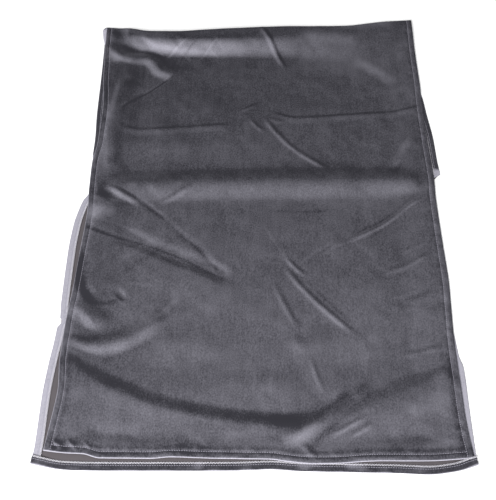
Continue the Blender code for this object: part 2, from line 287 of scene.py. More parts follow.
# Routes that more than one row follows
CORNER_CREASE_LINE = [(-155, 310), (-175, 285), (-200, 260), (-245, 225), (-252, 208)]
LONG_CREASE_LINE = [(-290, -57), (-247, -75), (-202, -88), (-163, -102), (-118, -123), (-75, -148),
                    (-49, -163)]

# The finer creases, in the same way
CREASES = [
    Fold("roll_crease", 1.5, 6, 8, [(4, 424), (18, 396), (33, 362), (50, 322)]),
    Fold("roll_dent_one", -1.6, 9, 12, [(-238, 398), (-222, 386), (-205, 374)]),
    Fold("roll_dent_two", -0.7, 12, 9, [(-172, 396), (-158, 384), (-150, 366)]),
    Fold("roll_dent_three", -0.6, 10, 12, [(-98, 400), (-84, 384), (-72, 366)]),
    Fold("roll_dent_four", -0.5, 14, 14, [(-28, 392), (-14, 378), (-6, 356)]),
    Fold("roll_dent_five", -0.9, 18, 14, [(82, 416), (96, 396), (110, 368)]),
    Fold("corner_crease", -1.5, 5, 8, CORNER_CREASE_LINE),
    Fold("corner_line", -1.2, 7, 7, [(-284, 308), (-262, 325), (-250, 335)]),
    Fold("left_edge_fall", 2.0, 18, 30,
         [(-248, 300), (-256, 220), (-260, 150), (-256, 90), (-244, 60)]),
    Fold("far_crease", 0.9, 5, 16,
         [(25, 205), (60, 192), (100, 195), (150, 200), (200, 205), (250, 210), (285, 220), (300, 230)]),
    Fold("far_crease_fork", 0.7, 5, 7, [(15, 193), (30, 186), (48, 184)]),
    Fold("left_far_crease", 1.1, 7, 16,
         [(-250, 174), (-230, 162), (-200, 161), (-100, 171), (-50, 176)]),
    Fold("short_line", 0.9, 5, 8, [(-35, 210), (-5, 228)]),
    Fold("vee", 1.0, 5, 6, [(-16, 190), (-4, 170), (10, 160)]),
    Fold("far_bow", 1.4, 7, 7,
         [(10, 192), (25, 165), (50, 130), (75, 105), (100, 85), (116, 75)]),
    Fold("right_bow", 2.2, 20, 11,
         [(280, 155), (265, 130), (250, 105), (235, 90), (225, 75)]),
    Fold("right_far_bow", 0.8, 20, 24, [(180, 352), (220, 326), (246, 300), (258, 280)]),
    Fold("left_streak", 2.2, 8, 11, [(-260, 30), (-240, 18), (-215, 3), (-200, -8)]),
    Fold("left_streak_line", -1.0, 8, 6, [(-200, 0), (-178, -20), (-155, -42)]),
    Fold("pale_wedge", 1.4, 6, 10, [(-168, -6), (-150, 4), (-128, 22), (-113, 34)]),
    Fold("second_crease", -0.7, 12, 9,
         [(-150, -50), (-120, -80), (-95, -100), (-75, -130), (-50, -155)]),
    Fold("side_dent", -1.1, 8, 8, [(-225, -180), (-215, -190), (-207, -198)]),
    Fold("fork", 2.6, 14, 16, [(92, -398), (116, -382), (142, -362), (160, -342)]),
    Fold("pale_patch", 2.0, 12, 24, [(34, -430), (62, -420), (88, -400)]),
    Fold("thin_near_one", 0.8, 5, 6, [(101, -426), (127, -411), (156, -394)]),
    Fold("thin_near_two", 0.7, 5, 6, [(130, -425), (147, -416), (163, -405)]),
    Fold("right_long_bow", 1.4, 6, 8,
         [(44, -138), (64, -168), (92, -202), (119, -230), (146, -256)]),
    Fold("fine_left", 0.9, 7, 7, [(26, -170), (39, -204), (59, -246)]),
    Fold("fine_right", 0.9, 5, 6, [(78, -298), (85, -325), (94, -352)]),
    Fold("soft_patch", 1.0, 16, 18, [(46, -268), (62, -275), (76, -280)]),
    Fold("right_crease", 1.9, 6, 7,
         [(149, -80), (177, -66), (203, -50), (227, -30), (250, -8), (279, 13)]),
    Fold("right_crease_tail", 0.8, 8, 8, [(149, -81), (120, -90), (93, -118)]),
    Fold("right_line_one", 0.9, 8, 8, [(229, -104), (252, -94), (280, -80)]),
    Fold("right_line_two", 1.1, 8, 8, [(199, -146), (232, -133), (278, -104)]),
    Fold("right_dip", -1.4, 14, 12, [(210, -202), (242, -197), (282, -178)]),
    Fold("right_low_line", 0.8, 8, 8, [(212, -295), (245, -288), (284, -278)]),
    Fold("middle_tick", 1.2, 5, 6, [(45, -117), (61, -138), (76, -152)]),
    Fold("corner_pucker_one", 1.4, 6, 6, [(-291, -433), (-280, -441), (-270, -451)]),
    Fold("corner_pucker_two", 1.2, 5, 5, [(-272, -430), (-262, -440), (-250, -452)]),
    Fold("corner_pucker_three", 1.0, 5, 5, [(-250, -430), (-240, -441), (-228, -455)]),
    Fold("near_pucker", 1.0, 8, 8, [(60, -438), (72, -448), (84, -460)]),
]

# Painted highlights, or painted shade if the height is negative, along the upper cloth's folds and creases,
# in thousandths
# Rows whose names end in _nap are painted shade or painted highlight along the crease of that name
PAINTED_LIGHT_MARKS = [
    # By the fold
    Fold("corner_crease_nap", -60, 3.5, 3.5, CORNER_CREASE_LINE),
    Fold("corner_crease_side", 26, 4, 22,
         [(-160, 318), (-182, 290), (-210, 265), (-245, 235)]),
    Fold("corner_valley", -50, 16, 20,
         [(-280, 410), (-265, 388), (-240, 376), (-205, 362), (-180, 345), (-155, 322), (-120, 322)]),
    Fold("corner_slope", 60, 12, 13,
         [(-218, 336), (-208, 324), (-193, 303), (-176, 295), (-162, 300)]),
    Fold("corner_smear", 80, 7, 7, [(-262, 428), (-258, 410), (-256, 392)]),
    Fold("roll_left", 190, 10, 13, [(-232, 382), (-205, 374), (-152, 365), (-104, 361)]),
    Fold("roll_middle", 70, 12, 14, [(-110, 360), (-66, 358), (-30, 356)]),
    Fold("roll_bright", 60, 7, 7, [(-134, 358), (-108, 361), (-76, 359)]),
    Fold("roll_fade", -26, 16, 16, [(14, 360), (44, 356)]),
    Fold("roll_streak_four", 80, 2, 4, [(-168, 376), (-150, 360), (-133, 346)]),
    Fold("roll_streak_five", 60, 2, 4, [(-113, 386), (-92, 364), (-72, 346)]),
    Fold("roll_spot_one", 75, 12, 12, [(-188, 369), (-168, 366)]),
    Fold("roll_spot_two", -50, 11, 11, [(-144, 372), (-132, 364)]),
    Fold("roll_spot_three", 55, 12, 12, [(-98, 362), (-84, 358)]),
    Fold("roll_spot_four", -45, 13, 15, [(-60, 366), (-44, 352)]),
    Fold("roll_top_shade", -35, 14, 14, [(-176, 392), (-120, 392), (-60, 396), (0, 402)]),
    Fold("roll_right_shade", -45, 26, 26, [(-14, 374), (26, 374)]),
    Fold("roll_streak_one", 160, 3, 5, [(-178, 346), (-160, 369), (-138, 390)]),
    Fold("roll_streak_two", 120, 3, 5, [(-112, 348), (-99, 366), (-82, 390)]),
    Fold("roll_streak_three", -110, 3, 5, [(-148, 349), (-133, 372), (-117, 390)]),
    Fold("roll_corner", -110, 15, 15, [(-292, 416), (-264, 404), (-238, 394)]),
    Fold("corner_pale", 240, 15, 15, [(-287, 364), (-277, 346), (-262, 336)]),
    Fold("corner_middle", -30, 9, 9, [(-246, 340), (-222, 340)]),
    Fold("corner_glow", 60, 17, 17, [(-268, 350), (-236, 342)]),
    Fold("corner_below", 45, 14, 14, [(-252, 302), (-236, 286)]),
    Fold("right_top", 60, 56, 76, [(70, 356), (160, 352), (250, 336)]),
    Fold("roll_right", 80, 26, 34, [(66, 402), (110, 404), (156, 398), (196, 392)]),
    Fold("roll_crease_nap", -70, 4, 4, [(6, 428), (20, 400), (35, 365), (50, 322)]),
    Fold("roll_crease_side", 70, 5, 7, [(2, 420), (14, 392), (30, 356), (44, 326)]),
    Fold("corner_blob", -40, 22, 22, [(-236, 325), (-232, 300), (-240, 262)]),
    Fold("right_side", 30, 34, 26, [(272, 410), (278, 300), (286, 190)]),
    Fold("right_smear", 80, 24, 24, [(176, 346), (221, 322), (247, 295), (262, 280)]),
    Fold("right_shade", -34, 18, 18, [(208, 384), (229, 350)]),
    Fold("top_right_edge", 100, 18, 26, [(150, 446), (209, 448), (268, 450)]),
    Fold("top_right_side", 34, 14, 14, [(262, 385), (272, 340)]),
    # Down to the middle ridge
    Fold("upper_plain", -14, 70, 70, [(-190, 170), (-60, 190), (20, 190)]),
    Fold("left_fall", 70, 8, 10,
         [(-262, 290), (-269, 220), (-274, 150), (-270, 90), (-260, 60)]),
    Fold("left_fall_line", -40, 5, 5, [(-282, 320), (-284, 220), (-286, 120), (-282, 60)]),
    Fold("left_far_crease_nap", -36, 4, 4,
         [(-250, 174), (-230, 164), (-200, 163), (-100, 173), (-50, 178)]),
    Fold("far_crease_nap", -50, 4, 4,
         [(25, 207), (60, 194), (100, 197), (150, 202), (200, 207), (250, 212), (285, 222), (300, 232)]),
    Fold("short_line_nap", -40, 4, 4, [(-35, 212), (-5, 230)]),
    Fold("above_middle", -30, 26, 26, [(-170, 66), (-80, 64), (0, 66), (120, 74), (250, 76)]),
    Fold("right_bow_line", -50, 7, 7, [(252, 92), (242, 76), (232, 62)]),
    Fold("right_bow_nap", 50, 8, 8, [(280, 155), (265, 130), (250, 107), (236, 92)]),
    # Below the middle ridge
    Fold("below_middle", 34, 20, 30, [(-190, 4), (2, 6), (225, 8)]),
    Fold("shade_line", -36, 4, 4, [(13, -21), (69, -23), (125, -19)]),
    Fold("right_middle", 22, 34, 34, [(120, -16), (200, -14), (280, -10)]),
    Fold("left_middle", 40, 12, 12, [(-138, -184), (-126, -190)]),
    Fold("middle_band", 12, 18, 30, [(-200, 14), (-60, 18), (80, 20), (200, 24), (285, 28)]),
    Fold("left_patch_three", 50, 9, 9, [(-152, 26), (-130, 38)]),
    Fold("pale_wedge_nap", -30, 9, 9, [(-116, -106), (-76, -138)]),
    Fold("slant_pale", 35, 10, 10, [(-150, -64), (-195, -100), (-236, -136)]),
    Fold("slant_dark", -30, 10, 10, [(-130, -74), (-180, -118), (-226, -156)]),
    Fold("blob_pale_two", 70, 6, 6, [(-270, -172), (-256, -189)]),
    Fold("tick_one", 50, 5, 5, [(-249, -106), (-252, -126)]),
    Fold("tick_two", 36, 6, 6, [(-216, -168), (-152, -173)]),
    Fold("side_dent_nap", -60, 5, 5, [(-228, -189), (-207, -205)]),
    Fold("side_dent_edge", 50, 4, 4, [(-222, -199), (-203, -213)]),
    Fold("long_crease_side", 22, 5, 5, [(-288, -48), (-230, -72), (-170, -92), (-110, -122), (-60, -150)]),
    Fold("left_patch_one", 60, 12, 12, [(-226, 26), (-208, 32)]),
    Fold("left_patch_four", 100, 20, 20, [(-262, -14), (-244, -36)]),
    Fold("left_patch_two", 60, 10, 10, [(-194, 34), (-178, 18), (-166, 6)]),
    Fold("left_blob", -70, 14, 14, [(-262, 46), (-270, 25), (-262, 8), (-245, 0)]),
    Fold("left_side_band", 240, 22, 18, [(-274, -6), (-275, -28), (-278, -46)]),
    Fold("crease_start", -70, 4, 4, [(-294, -52), (-264, -66), (-236, -77)]),
    Fold("long_crease_nap", -18, 7, 7, LONG_CREASE_LINE),
    Fold("long_crease_line", -80, 2.5, 2.5, LONG_CREASE_LINE),
    Fold("second_crease_nap", -50, 3, 3,
         [(-183, -13), (-168, -28), (-144, -57), (-109, -90), (-70, -136), (-53, -158)]),
    Fold("side_blob", -185, 15, 13,
         [(-290, -106), (-287, -140), (-284, -172), (-271, -191), (-256, -208)]),
    Fold("side_blob_tail", -70, 7, 7, [(-262, -205), (-234, -206), (-210, -198)]),
    Fold("arc_pale", 60, 8, 8, [(-169, -242), (-143, -219), (-120, -185)]),
    Fold("middle_line", 45, 4, 4, [(5, -46), (28, -89), (61, -151)]),
    Fold("right_tail_line", 40, 5, 5, [(62, -130), (103, -96), (150, -73)]),
    Fold("right_long_bow_nap", -60, 6, 3, [(72, -158), (101, -192), (127, -222), (147, -243)]),
    Fold("right_crease_nap", -50, 7, 3,
         [(155, -70), (175, -58), (200, -45), (225, -25), (250, 0), (276, 22)]),
    Fold("right_crease_under", -40, 3, 7,
         [(155, -84), (175, -72), (200, -59), (225, -39), (250, -14), (278, 6)]),
    Fold("right_dip_nap", -55, 9, 9, [(214, -196), (242, -193), (278, -174)]),
    Fold("right_corner", -30, 16, 16, [(285, 48), (268, 26), (252, 6)]),
    # By the loose end
    Fold("above_swag", 34, 38, 38, [(-175, -300), (-86, -303), (3, -303), (107, -296), (200, -270)]),
    Fold("fork_dark", -40, 8, 8, [(79, -400), (109, -374), (139, -350)]),
    Fold("fork_pale", 36, 7, 7, [(100, -369), (126, -346)]),
    Fold("below_swag_right", 40, 24, 24, [(200, -392), (240, -378), (282, -358)]),
    Fold("under_swag", -90, 22, 24, [(10, -400), (38, -407), (66, -404)]),
    Fold("swag_brow", 34, 20, 20, [(-60, -344), (0, -352), (60, -350)]),
    Fold("left_hem_near", 90, 9, 9, [(-299, -276), (-299, -306)]),
    Fold("blob_pale_one", 90, 5, 5, [(-270, -226), (-249, -251)]),
    Fold("right_plain", 22, 26, 26, [(90, -232), (150, -236), (200, -236)]),
    Fold("below_swag", -50, 36, 36, [(-275, -375), (-200, -405), (-120, -428), (-40, -438)]),
    Fold("left_arc_nap", -45, 18, 12, [(-292, -258), (-262, -270), (-230, -268), (-205, -258), (-188, -248)]),
    Fold("swag_left", -30, 22, 18,
         [(-288, -304), (-262, -319), (-222, -342), (-176, -366), (-130, -384)]),
    Fold("arc_end", -35, 16, 16, [(-200, -288), (-176, -270)]),
    Fold("swag_middle", -56, 22, 16,
         [(-134, -377), (-83, -387), (-26, -396), (31, -399), (74, -394), (103, -383), (141, -350)]),
    Fold("swag_low", -45, 13, 13, [(20, -409), (60, -409), (92, -399)]),
    Fold("right_low", 36, 30, 30, [(262, -404), (272, -350)]),
    Fold("right_low_glow", 34, 20, 20, [(216, -388), (240, -380)]),
    Fold("above_swag_right", 20, 26, 26, [(62, -337), (106, -334)]),
    Fold("swag_right", -24, 24, 16,
         [(98, -404), (118, -391), (150, -368), (188, -351), (238, -332), (284, -308)]),
    Fold("near_streak_one", 70, 4, 4, [(101, -428), (127, -414), (156, -397)]),
    Fold("near_streak_two", 60, 4, 4, [(130, -428), (147, -419), (163, -408)]),
    Fold("above_stitches_left", -50, 9, 9, [(-286, -436), (-265, -434), (-242, -436)]),
    Fold("above_stitches_right", 30, 12, 12, [(130, -436), (200, -438)]),
    Fold("above_stitches_corner", 95, 12, 12, [(226, -438), (282, -434)]),
    Fold("above_stitches_middle", 60, 9, 9, [(-54, -426), (-10, -425)]),
    Fold("above_stitches_dark", -60, 10, 10, [(12, -428), (36, -431)]),
    Fold("hem_corner_dark", -60, 8, 8, [(-288, -448), (-262, -448)]),
    Fold("pale_patch_nap", 150, 12, 13, [(44, -438), (60, -428), (78, -414), (94, -402)]),
    Fold("patch_line", -80, 9, 9, [(71, -446), (91, -424), (117, -403)]),
    Fold("right_low_line_nap", -30, 6, 6, [(228, -292), (262, -290)]),
]

# How a fold fades out at its ends, and how its route is stepped and eased
FOLD_TAPER = 0.035
TAPER_START = 0.25
FOLD_STEP = 0.003
LEAST_STEPS = 4
ROUTE_EASING = 12

# The cloth's chance unevenness, in metres, and the puckers along its stitches
SWELLS = [Uneven(0.045, 0.0007, 3), Uneven(0.017, 0.00024, 5)]
PUCKERS = Uneven(0.009, 0.0004, 7)
PUCKER_REACH = 0.012
EDGE_EASE = 0.004
LATTICE = 64


def smooth(t):
    """Ease from 0 to 1 as t goes from 0 to 1."""
    t = np.clip(t, 0.0, 1.0)
    return t * t * (3.0 - 2.0 * t)


def band(distance, middle, reach):
    """1 at the middle of a band, easing to 0 at its reach."""
    return 1.0 - smooth(np.abs(distance - middle) / reach)


def read(rows, key, value, at):
    """A table's value, in metres, on a smooth curve through its rows that never overshoots them."""
    places = np.array([getattr(row, key) for row in rows]) * MM
    values = np.array([getattr(row, value) for row in rows]) * MM
    steps = np.diff(places)
    slopes = np.diff(values) / steps
    tangents = np.concatenate([slopes[:1], np.zeros(len(rows) - 2), slopes[-1:]])
    turning = slopes[:-1] * slopes[1:] > 0
    means = 2 * slopes[:-1] * slopes[1:] / np.where(turning, slopes[:-1] + slopes[1:], 1.0)
    tangents[1:-1] = np.where(turning, means, 0.0)
    at = np.clip(at, places[0], places[-1])
    k = np.clip(np.searchsorted(places, at) - 1, 0, len(steps) - 1)
    t = (at - places[k]) / steps[k]
    start = values[k] * (1 + 2 * t) + tangents[k] * steps[k] * t
    end = values[k + 1] * (3 - 2 * t) - tangents[k + 1] * steps[k] * (1 - t)
    return start * (1 - t) ** 2 + end * t ** 2


def upper_left(y):
    return -HALF_WIDTH - read(UPPER_LEFT, "y", "out", y)


def upper_right(y):
    return HALF_WIDTH + read(UPPER_RIGHT, "y", "out", y)


def lower_left(y):
    dent = NIP_DEPTH * np.maximum(1.0 - np.abs(y - NIP_Y) / NIP_REACH, 0.0)
    return -HALF_WIDTH - read(LOWER_LEFT, "y", "out", y) + dent


def lower_right(y):
    return HALF_WIDTH + read(LOWER_RIGHT, "y", "out", y)


def near_edge(x):
    return -HALF_LENGTH - read(UPPER_END, "x", "out", x)


def lower_near_edge(x):
    return -HALF_LENGTH - read(LOWER_END, "x", "out", x)


def fold_edge(x):
    return HALF_LENGTH + read(FOLD_ROLL, "x", "out", x)


def dense_route(points):
    """A fold's route in metres, eased round its corners, and the distance run at each of its points."""
    corners = np.array(points) * MM
    runs = runs_of(corners)
    at = np.linspace(0.0, runs[-1], int(runs[-1] / FOLD_STEP) + LEAST_STEPS)
    route = read_line(at, runs, corners)
    for _ in range(ROUTE_EASING):
        route[1:-1] = (route[:-2] + 2 * route[1:-1] + route[2:]) / 4
    return route, at


def fold_height(fold, x, y):
    """How much one fold raises or lowers the cloth, or one mark of painted light or shade lightens or darkens
    it, at each place.
    """
    route, at = dense_route(fold.route)
    ahead = np.gradient(route, axis=0)
    ahead /= np.linalg.norm(ahead, axis=1)[:, None]
    reach = max(fold.left, fold.right) * MM
    low, high = route.min(axis=0) - reach, route.max(axis=0) + reach
    close = (x > low[0]) & (x < high[0]) & (y > low[1]) & (y < high[1])
    away = np.stack([x[close], y[close]], axis=-1)[:, None, :] - route
    nearest = np.argmin(np.sum(away ** 2, axis=-1), axis=-1)
    off = away[np.arange(len(nearest)), nearest]
    turn = ahead[nearest, 0] * off[:, 1] - ahead[nearest, 1] * off[:, 0]
    past_end = (nearest == 0) | (nearest == len(route) - 1)
    distance = np.where(past_end, np.linalg.norm(off, axis=-1), np.abs(turn))
    width = np.where(turn > 0, fold.left, fold.right) * MM
    run = at[nearest]
    taper_length = min(FOLD_TAPER, at[-1] / 2)
    taper = smooth(run / taper_length + TAPER_START) * smooth((at[-1] - run) / taper_length + TAPER_START)
    height = np.zeros_like(x)
    height[close] = fold.height * MM * taper * (1.0 - smooth(distance / width))
    return height


def edge_distances(x, y):
    """How far a place is inside the upper cloth's nearer side, and inside its end."""
    return np.minimum(x - upper_left(y), upper_right(y) - x), y - near_edge(x)


def roll_rise(x, y):
    """How high the roll of the fold holds the upper cloth, and what share of its whole rise that is."""
    back = fold_edge(x) - y
    crest = read(FOLD_ROLL, "x", "crest", x)
    slope = read(FOLD_ROLL, "x", "slope", x)
    rise = read(FOLD_ROLL, "x", "height", x) - CLOTH / 2 - UPPER_MIDDLE
    share = 1.0 - smooth((back - crest) / slope)
    return rise * share, share


def unevenness(x, y, size, height, seed):
    """Soft chance hollows and swells of about one size."""
    lattice = np.random.default_rng(seed).uniform(-1.0, 1.0, (LATTICE, LATTICE))
    u, v = x / size + LATTICE / 2, y / size + LATTICE / 2
    i, j = np.floor(u).astype(int), np.floor(v).astype(int)
    s, t = smooth(u - i), smooth(v - j)
    i, j = i % (LATTICE - 1), j % (LATTICE - 1)
    near = lattice[i, j] * (1 - s) + lattice[i + 1, j] * s
    far = lattice[i, j + 1] * (1 - s) + lattice[i + 1, j + 1] * s
    return height * (near * (1 - t) + far * t)


def upper_height(x, y):
    """Height of the middle of the upper cloth: what holds it up there, with its folds and creases."""
    side, end = edge_distances(x, y)
    inside = np.minimum(side, end)
    lift = HEM_LIFT * np.maximum(1.0 - smooth((side - HEM_SHELF) / SIDE_SLOPE),
                                 1.0 - smooth((end - HEM_SHELF) / END_SLOPE))
    folds = [fold_height(fold, x, y) for fold in FOLDS]
    ridges = SWELL * smooth(inside / SWELL_REACH) + np.sum(np.maximum(folds, 0.0), axis=0)
    troughs = np.sum(np.minimum(folds, 0.0), axis=0)
    rise, rolled = roll_rise(x, y)
    held = rise + np.cbrt(lift ** 3 + ridges ** 3) * (1.0 - rolled)
    creases = np.sum([fold_height(fold, x, y) for fold in CREASES], axis=0)
    creases += np.sum([unevenness(x, y, *swell) for swell in SWELLS], axis=0)
    groove = GROOVE_DEPTH * band(inside, STITCH_INSET, GROOVE_WIDTH)
    pucker = unevenness(x, y, *PUCKERS) * band(inside, STITCH_INSET, PUCKER_REACH)
    inner = smooth(inside / EDGE_EASE)
    return UPPER_MIDDLE + np.maximum(held + troughs + creases * inner, lift) - groove + pucker * inner


def hem_run():
    """Across a hem from its cut edge, round its fold and on: inset from the fold, and depth in layers."""
    angles = np.pi * np.arange(CURL_STEPS, -1, -1) / CURL_STEPS
    inset = np.concatenate([UNDER_PLACES, CURL * (1 - np.sin(angles)), HEM_PLACES])
    depth = np.concatenate([np.ones(len(UNDER_PLACES)), (1 - np.cos(angles)) / 2, np.zeros(len(HEM_PLACES))])
    return inset, depth


def spread(length, step, others):
    """Shares of the plain stretch between two hems, so many that the inside can take every third."""
    count = int(round(length / step))
    while (count + others) % INSIDE_STEP:
        count += 1
    return np.linspace(0.0, 1.0, count + 1)


def side_columns(step):
    """Columns from one side's cut edge to the other's: share of the way across, inset and depth."""
    inset, depth = hem_run()
    share = spread(2 * (HALF_WIDTH - HEM_PLACES[-1]), step, 2 * len(inset) - 2)[1:-1]
    plain = HEM_PLACES[-1] * (1 - 2 * share)
    shares = np.concatenate([np.zeros(len(inset)), share, np.ones(len(inset))])
    return (shares, np.concatenate([inset, plain, -inset[::-1]]),
            np.concatenate([depth, np.zeros(len(share)), depth[::-1]]))


def outward(points):
    """Unit normals of a sheet of points."""
    normals = np.cross(np.gradient(points, axis=1), np.gradient(points, axis=0))
    for i, j in np.argwhere(np.linalg.norm(normals, axis=-1) < NO_AREA):
        normals[i, j] = normals[i - 1:i + 2, j - 1:j + 2].sum(axis=(0, 1))
    return normals / np.linalg.norm(normals, axis=-1)[..., None]


def fold_hems(sheet, row_depth, column_depth, lap):
    """Turn the sheet's hems in: each point moves one layer in for each hem that it is on. At a corner the
    end hem goes in by further layers, so that it passes the side hem."""
    turned = len(hem_run()[0]) - len(HEM_PLACES)
    plain = outward(sheet[turned:, turned:-turned])
    normals = np.pad(plain, ((turned, 0), (turned, turned), (0, 0)), mode="edge")
    column = np.arange(len(column_depth))
    inset = np.minimum(column, column[::-1])
    at_corner = 1.0 - smooth((inset - turned - CORNER_COLUMNS) / CORNER_FADE)
    corner = at_corner * (1 - column_depth)
    depth = column_depth[None, :] + row_depth[:, None] * (1 + lap * corner[None, :])
    return sheet - normals * (depth * LAYER)[..., None]


def upper_sheet():
    """Middle surface of the upper cloth: from its end hem to the roll, round it and back beneath."""
    share, inset, column_depth = side_columns(GRID)
    hem_inset, hem_depth = hem_run()
    nominal = (2 * share - 1) * HALF_WIDTH + inset

    def row(y, z, turn):
        """A row of points round the roll or beneath it, whose ends pass from the upper sides to the lower."""
        left = upper_left(y) * (1 - turn) + lower_left(y) * turn
        right = upper_right(y) * (1 - turn) + lower_right(y) * turn
        return np.stack([left + (right - left) * share + inset, y, z], axis=-1)

    near, far = near_edge(nominal), fold_edge(nominal)
    depth = ROLL_ROUND * (upper_height(nominal, far - CREST_BACK) - LOWER_MIDDLE) / 2
    crest = far - depth
    inner = HEM_PLACES[-1]
    along = spread(2 * HALF_LENGTH - inner, GRID, len(hem_inset) - 1 + ROUND_STEPS + TUCK_STEPS)[1:]
    y = np.array([near + at for at in hem_inset]
                 + [near + inner + (crest - near - inner) * at for at in along])
    x = upper_left(y) + (upper_right(y) - upper_left(y)) * share + inset
    top = np.stack([x, y, upper_height(x, y)], axis=-1)
    crest_z = top[-1, :, 2]
    middle, radius = (crest_z + LOWER_MIDDLE) / 2, (crest_z - LOWER_MIDDLE) / 2
    rows = []
    for step in range(1, ROUND_STEPS + 1):
        angle = np.pi * (0.5 - step / ROUND_STEPS)
        rows.append(row(crest + depth * np.cos(angle), middle + radius * np.sin(angle),
                        smooth(step / ROUND_STEPS)))
    for step in range(1, TUCK_STEPS + 1):
        back = crest + (far - FOLD_TUCK - crest) * step / TUCK_STEPS
        rows.append(row(back, np.full_like(back, LOWER_MIDDLE), 1.0))
    sheet = np.concatenate([top, np.array(rows)])
    row_depth = np.concatenate([hem_depth, np.zeros(len(sheet) - len(hem_depth))])
    return fold_hems(sheet, row_depth, column_depth, UPPER_LAP)


def lower_sheet():
    """Middle surface of the lower cloth, which lies face down with its hems turned up."""
    share, inset, column_depth = side_columns(LOWER_GRID)
    share, inset = 1 - share, -inset
    hem_inset, hem_depth = hem_run()
    nominal = (2 * share - 1) * HALF_WIDTH + inset
    left_end = -HALF_LENGTH - LOWER_END[0].out * MM
    right_end = -HALF_LENGTH - LOWER_END[-1].out * MM
    wide = lower_left(left_end) * (1 - share) + lower_right(right_end) * share + inset
    near, butt = lower_near_edge(wide), fold_edge(nominal) - FOLD_TUCK - LAYER_GAP
    inner = HEM_PLACES[-1]
    along = spread(2 * HALF_LENGTH - FOLD_TUCK - inner, LOWER_GRID, len(hem_inset) - 1)[1:]
    y = np.array([near + at for at in hem_inset]
                 + [near + inner + (butt - near - inner) * at for at in along])
    x = lower_left(y) * (1 - share) + lower_right(y) * share + inset
    sheet = np.stack([x, y, np.full_like(x, LOWER_MIDDLE)], axis=-1)
    row_depth = np.concatenate([hem_depth, np.zeros(len(sheet) - len(hem_depth))])
    return fold_hems(sheet, row_depth, column_depth, LOWER_LAP)


def between(coarse):
    """A coarse sheet of points, filled in to the fine one's spacing."""
    for axis in (0, 1):
        count = coarse.shape[axis]
        fine = np.arange((count - 1) * INSIDE_STEP + 1) / INSIDE_STEP
        low = np.minimum(fine.astype(int), count - 2)
        part = (fine - low).reshape((-1, 1, 1) if axis == 0 else (1, -1, 1))
        coarse = np.take(coarse, low, axis) * (1 - part) + np.take(coarse, low + 1, axis) * part
    return coarse


def inside_of(outer, inner, normals):
    """The cloth's inside, from every third point, pressed in where it would show through the outside."""
    start = inner[::INSIDE_STEP, ::INSIDE_STEP]
    facing = normals[::INSIDE_STEP, ::INSIDE_STEP]
    pressed = np.zeros(start.shape[:2])
    for _ in range(PRESSES):
        coarse = start - facing * pressed[..., None]
        cover = np.sum((outer - between(coarse)) * normals, axis=-1)
        short = np.pad(np.maximum(LEAST_COVER - cover, 0.0), INSIDE_STEP)
        push = np.zeros(pressed.shape)
        for i in range(2 * INSIDE_STEP + 1):
            for j in range(2 * INSIDE_STEP + 1):
                beside = short[i:, j:][:outer.shape[0]:INSIDE_STEP, :outer.shape[1]:INSIDE_STEP]
                push = np.maximum(push, beside)
        pressed = np.minimum(pressed + push, MOST_PRESSED)
    return start - facing * pressed[..., None]


def grid_faces(numbers):
    """Four-sided faces over a grid of point numbers."""
    return np.stack([numbers[:-1, :-1], numbers[:-1, 1:], numbers[1:, 1:], numbers[1:, :-1]],
                    axis=-1).reshape(-1, 4).tolist()


def rim_faces(fine, coarse):
    """Faces that join a fine row of point numbers to a coarse one."""
    faces = []
    for k in range(len(coarse) - 1):
        first, last = coarse[k], coarse[k + 1]
        a, b, c, d = fine[INSIDE_STEP * k:INSIDE_STEP * k + INSIDE_STEP + 1]
        faces += [(a, b, first), (b, c, last, first), (c, d, last)]
    return faces


def painted_nap_light(x, y):
    """How much painted highlight or painted shade the upper cloth's colour has at each place, from its marks
    and along its hems.
    """
    stroked = np.sum([fold_height(paint_light, x, y) for paint_light in PAINTED_LIGHT_MARKS], axis=0)
    side, end = edge_distances(x, y)
    # Painted shade in bands along the end hem and, near the loose end, along the side hems
    stroked -= END_PAINTED_SHADE * band(end, SHADE_INSET, SHADE_REACH)
    stroked -= FLAP_PAINTED_SHADE * band(end, FLAP_INSET, FLAP_REACH)
    near_end = 1.0 - smooth((y + SIDE_PAINTED_SHADE_TO) / SIDE_PAINTED_SHADE_FADE)
    return stroked - SIDE_PAINTED_SHADE * near_end * band(side, SHADE_INSET, SHADE_REACH)


def unpainted(x, y):
    """No painted highlight or shade."""
    return np.zeros_like(x)


def upper_lie(x, y):
    """How strongly the upper cloth's pile leans along its rows: less near the fold, which paints the cloth
    darker towards the fold as painted shade.
    """
    return np.interp(y, (-HALF_LENGTH, HALF_LENGTH), (LEAN_AT_END, LEAN_AT_FOLD))


def lower_lie(x, y):
    """How the lower cloth's pile leans along its rows: backwards, which paints it pale, apart from the
    stretches that are painted dark, and ruffled on the end hem, which paints that darker in chance mottles."""
    lie = np.full_like(x, -1.0)
    for side, start, end in DARK_STRETCHES:
        lie += 2 * smooth((y - start) / LIE_FADE) * smooth((end - y) / LIE_FADE) * (x * side > 0)
    ruffled = smooth((-HALF_LENGTH - y) / LIE_FADE)
    return lie + ruffled * (END_LIFT + unevenness(x, y, RUFFLE_SIZE, END_RUFFLE, RUFFLE_SEED))


def place_piece(name, mesh):
    """An object from a closed mesh, with its faces turned outward and shaded smooth."""
    tidy = bmesh.new()
    tidy.from_mesh(mesh)
    bmesh.ops.recalc_face_normals(tidy, faces=tidy.faces)
    tidy.to_mesh(mesh)
    tidy.free()
    mesh.shade_smooth()
    piece = bpy.data.objects.new(name, mesh)
    bpy.context.scene.collection.objects.link(piece)
    return piece


